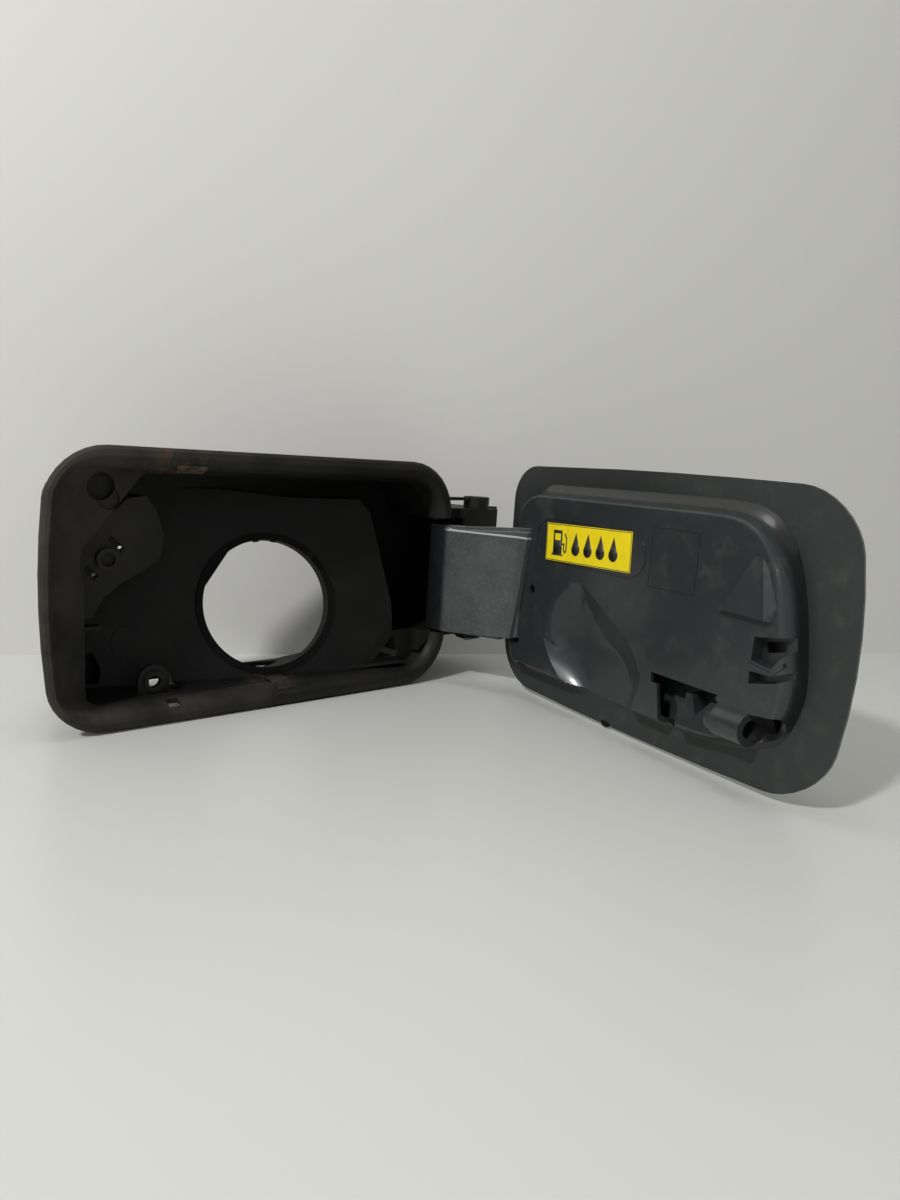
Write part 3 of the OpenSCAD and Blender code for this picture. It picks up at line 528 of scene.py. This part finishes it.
class FUELDOOR_OT_stage(bpy.types.Operator):
    """Floor, wall, soft light and camera"""
    bl_idname = "fuel_door.stage"
    bl_label = "Stage"

    def execute(self, context):
        settings = context.scene.fuel_door_stage
        self.floor(settings)
        self.wall(settings)
        self.sky(context.scene, settings)
        self.lamps(context.scene)
        self.camera(context.scene, settings)
        return {"FINISHED"}

    def plane(self, name, place, colour, one_sided):
        """A large flat piece of the stage; a one-sided one can be looked through from behind."""
        shape = bmesh.new()
        bmesh.ops.create_grid(shape, x_segments=1, y_segments=1, size=STAGE_SPAN / 2)
        bmesh.ops.transform(shape, matrix=place, verts=shape.verts)
        made = Finish(name, colour, 0.32, specular=0.4)
        if one_sided:
            clear = made.node("ShaderNodeBsdfTransparent")
            mixed = made.node("ShaderNodeMixShader")
            made.link(made.node("ShaderNodeNewGeometry").outputs["Backfacing"], mixed.inputs[0])
            made.link(made.shader.outputs["BSDF"], mixed.inputs[1])
            made.link(clear.outputs["BSDF"], mixed.inputs[2])
            made.link(mixed.outputs[0], made.tree.nodes["Material Output"].inputs["Surface"])
        piece = finish_mesh(shape, name, made.material)

    def floor(self, settings):
        """The table under the part."""
        place = Matrix.Translation((0.0, 0.0, settings.floor_level))
        self.plane("table", place, settings.floor_colour, False)

    def wall(self, settings):
        """The wall behind the part."""
        place = (
            Matrix.Rotation(settings.wall_turn, 4, "Z")
            @ Matrix.Translation((0.0, settings.wall_distance, 0.0))
            @ Matrix.Rotation(math.radians(90.0), 4, "X")
        )
        self.plane("wall", place, settings.wall_colour, True)

    def sky(self, scene, settings):
        """Even white light from all sides."""
        if scene.world is None:
            scene.world = bpy.data.worlds.new("world")
        scene.world.use_nodes = True
        background = scene.world.node_tree.nodes["Background"]
        background.inputs["Color"].default_value = (1.0, 1.0, 1.0, 1.0)
        background.inputs["Strength"].default_value = settings.sky

    def lamps(self, scene):
        """Round lamps that look at the origin."""
        for name, place, width, power in LAMPS:
            lamp = bpy.data.lights.new(name, "AREA")
            lamp.shape = "DISK"
            lamp.size = width
            lamp.energy = power
            holder = bpy.data.objects.new(name, lamp)
            scene.collection.objects.link(holder)
            turn = Vector(place).to_track_quat("Z", "Y").to_matrix().to_4x4()
            holder.matrix_world = Matrix.Translation(place) @ turn

    def camera(self, scene, settings):
        """The camera of the photo's view."""
        turn = Matrix.Rotation(settings.yaw, 3, "Z")
        right = turn @ Vector((1.0, 0.0, 0.0))
        tilt = Matrix.Rotation(-settings.pitch, 3, right)
        forward = tilt @ turn @ Vector((0.0, 1.0, 0.0))
        up = tilt @ Vector((0.0, 0.0, 1.0))
        roll = Matrix.Rotation(settings.roll, 3, forward)
        view = Matrix((roll @ right, roll @ up, -forward)).transposed()
        data = bpy.data.cameras.new("camera")
        data.lens = settings.lens
        data.sensor_width = 36.0
        data.clip_start = 0.01
        holder = bpy.data.objects.new("camera", data)
        scene.collection.objects.link(holder)
        holder.matrix_world = Matrix.Translation(settings.camera_place) @ view.to_4x4()
        scene.camera = holder


class FUELDOOR_OT_bowl(bpy.types.Operator):
    """Filler bowl, its collar and its clips"""
    bl_idname = "fuel_door.bowl"
    bl_label = "Filler bowl"

    def execute(self, context):
        settings = context.scene.fuel_door_finish
        bowl = rounded_copy("housing_bowl", "filler_bowl", bowl_plastic(settings), settings.edge)
        set_in_place(bowl, "housing_bowl", "bowl")
        collar = rounded_copy("neck_collar", "neck_seal", collar_rubber(), 0.25 * MM)
        set_in_place(collar, "neck_collar", "bowl")
        for node, name, clean, rusted in (
                ("retaining_clip_top", "clip_top", linear(92, 80, 64), linear(48, 38, 30)),
                ("retaining_clip_floor", "clip_floor", linear(50, 45, 39), linear(24, 21, 18))):
            clip = rounded_copy(node, name, rusty_steel(name + "_steel", clean, rusted), 0.12 * MM)
            set_in_place(clip, node, "bowl")
        return {"FINISHED"}


class FUELDOOR_OT_hinge(bpy.types.Operator):
    """Hinge pin, retainer, bushes and gooseneck arm"""
    bl_idname = "fuel_door.hinge"
    bl_label = "Hinge"

    def execute(self, context):
        settings = context.scene.fuel_door_finish
        dark_steel = bare_steel("pin_steel", linear(120, 121, 122))
        pin = rounded_copy("hinge_pin", "pin", dark_steel, 0.4 * MM)
        set_in_place(pin, "hinge_pin", "bowl")
        light_steel = bare_steel("ring_steel", linear(150, 150, 148))
        ring = rounded_copy("pin_retainer", "retainer", light_steel, 0.2 * MM)
        set_in_place(ring, "pin_retainer", "bowl")
        nylon = bush_nylon()
        for node, name in (("arm_bush_upper", "bush_upper"), ("arm_bush_lower", "bush_lower")):
            bush = rounded_copy(node, name, nylon, 0.2 * MM)
            set_in_place(bush, node, "door")
        arm = rounded_copy("hinge_arm", "gooseneck_arm", arm_plastic(settings), 0.6 * MM, segments=3)
        set_in_place(arm, "hinge_arm", "door")
        return {"FINISHED"}


class FUELDOOR_OT_door(bpy.types.Operator):
    """Door skin and liner, with a shred of sealing at the skin's edge"""
    bl_idname = "fuel_door.door"
    bl_label = "Door"

    def execute(self, context):
        settings = context.scene.fuel_door_finish
        skin = rounded_copy("door_skin", "outer_skin", skin_paint(settings), 0.4 * MM, sharp=40.0)
        set_in_place(skin, "door_skin", "door")
        liner = rounded_copy("door_liner", "inner_liner", liner_paint(settings), 0.8 * MM, segments=3)
        set_in_place(liner, "door_liner", "door")
        self.shred()
        return {"FINISHED"}

    def shred(self):
        """A torn shred of black sealing foam that hangs below the door's edge."""
        shape = bmesh.new()
        bmesh.ops.create_icosphere(shape, subdivisions=3, radius=1.0)
        for vert in shape.verts:
            rough = noise.noise(vert.co * 1.7) * 0.5 + noise.noise(vert.co * 4.3) * 0.3
            lump = vert.co * (1.0 + rough) * SHRED_HALF_SIZE
            vert.co = SWING @ ((SHRED_PLACE + lump) * MM)
        piece = finish_mesh(shape, "sealing_shred", foam_scrap())
        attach(piece, "door")


class FUELDOOR_OT_label(bpy.types.Operator):
    """Yellow fuel label with its pump pictogram"""
    bl_idname = "fuel_door.label"
    bl_label = "Fuel label"

    def execute(self, context):
        settings = context.scene.fuel_door_finish
        film = rounded_copy("fuel_label", "label_plate", label_film(settings), 0.08 * MM)
        set_in_place(film, "fuel_label", "door")
        prints = bmesh.new()
        for outline in self.pump() + self.drops() + self.border():
            self.print_shape(prints, outline)
        ink = finish_mesh(prints, "label_print", label_ink())
        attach(ink, "door")
        return {"FINISHED"}

    def box(self, left, right, low, high):
        """Outline of an upright box."""
        return [(left, low), (right, low), (right, high), (left, high)]

    def stroke(self, start, end, width):
        """Outline of a straight stroke, with ends that reach half its width further."""
        start, end = Vector(start), Vector(end)
        along = (end - start).normalized() * width / 2
        side = Vector((-along.y, along.x))
        start, end = start - along, end + along
        return [tuple(point) for point in (start - side, end - side, end + side, start + side)]

    def pump(self):
        """Outlines of a fuel pump: foot, body round its window, hose and nozzle."""
        left, right, low, high = -27.0, -19.6, -6.0, 6.6
        sill, head, frame_side = 1.2, 4.8, 1.3
        foot, hose_width = 1.0, 0.9
        hose = [(right, -0.6), (right + 1.6, -0.6), (right + 1.6, -4.0), (right + 2.6, -5.0),
                (right + 3.6, -4.0), (right + 3.6, 2.6), (right + 2.2, 4.6)]
        return [
            self.box(left - foot, right + foot, low - foot, low),
            self.box(left, right, low, sill),
            self.box(left, left + frame_side, sill, head),
            self.box(right - frame_side, right, sill, head),
            self.box(left, right, head, high),
        ] + [self.stroke(start, end, hose_width) for start, end in zip(hose, hose[1:])]

    def drops(self):
        """Outlines of drops in a row, each a tip over an arc."""
        count, first, spacing = 4, -8.4, 9.6
        tip, middle, radius = 6.4, -2.6, 3.3
        first_angle, arc, steps = 40.0, 260.0, 14
        outlines = []
        for number in range(count):
            across = first + spacing * number
            outline = [(across, tip)]
            for step in range(steps + 1):
                angle = math.radians(first_angle - arc * step / steps)
                outline.append((across + radius * math.cos(angle), middle + radius * math.sin(angle)))
            outlines.append(outline[::-1])
        return outlines

    def border(self):
        """Outlines of a thin line near the label's edge."""
        inset, width = 0.5, 0.35
        across, up = LABEL_SIZE.x / 2 - inset, LABEL_SIZE.y / 2 - inset
        corners = self.box(-across, across, -up, up)
        return [self.stroke(start, end, width) for start, end in zip(corners, corners[1:] + corners[:1])]

    def print_shape(self, shape, outline):
        """Adds a printed shape; x of the outline runs along the label as it is seen, y up."""
        spin = Matrix.Rotation(LABEL_TURN, 4, "Y")
        corners = []
        for across, up in outline:
            turned = spin @ Vector((-across, 0.0, up))
            corners.append(shape.verts.new(SWING @ ((LABEL_CENTRE + turned) * MM)))
        lift = (SWING.to_3x3() @ Vector((0.0, 1.0, 0.0))) * PRINT_THICKNESS * MM
        made = bmesh.ops.contextual_create(shape, geom=corners)["faces"]
        moved = bmesh.ops.extrude_face_region(shape, geom=made)["geom"]
        raised = [item for item in moved if isinstance(item, bmesh.types.BMVert)]
        bmesh.ops.translate(shape, verts=raised, vec=lift)
        bmesh.ops.recalc_face_normals(shape, faces=shape.faces)


class FUELDOOR_PT_panel(bpy.types.Panel):
    """Steps of the fuel door"""
    bl_idname = "FUELDOOR_PT_panel"
    bl_label = "Car Fuel Door"
    bl_space_type = "VIEW_3D"
    bl_region_type = "UI"
    bl_category = "Fuel Door"

    def draw(self, context):
        layout = self.layout
        for operator in OPERATORS:
            layout.operator(operator.bl_idname)
        for settings in (context.scene.fuel_door_stage, context.scene.fuel_door_finish):
            box = layout.box()
            for name in settings.bl_rna.properties.keys():
                if name not in ("rna_type", "name"):
                    box.prop(settings, name)


OPERATORS = (FUELDOOR_OT_stage, FUELDOOR_OT_bowl, FUELDOOR_OT_hinge, FUELDOOR_OT_door, FUELDOOR_OT_label)
CLASSES = (FuelDoorStageSettings, FuelDoorFinishSettings, *OPERATORS, FUELDOOR_PT_panel)


def register():
    for made in CLASSES:
        bpy.utils.register_class(made)
    bpy.types.Scene.fuel_door_stage = bpy.props.PointerProperty(type=FuelDoorStageSettings)
    bpy.types.Scene.fuel_door_finish = bpy.props.PointerProperty(type=FuelDoorFinishSettings)


def unregister():
    del bpy.types.Scene.fuel_door_finish
    del bpy.types.Scene.fuel_door_stage
    for made in reversed(CLASSES):
        bpy.utils.unregister_class(made)


def main():
    register()
    bpy.context.scene.view_settings.view_transform = "Standard"
    bpy.ops.fuel_door.stage()
    bpy.ops.fuel_door.bowl()
    bpy.ops.fuel_door.hinge()
    bpy.ops.fuel_door.door()
    bpy.ops.fuel_door.label()


if __name__ == "__main__":
    main()
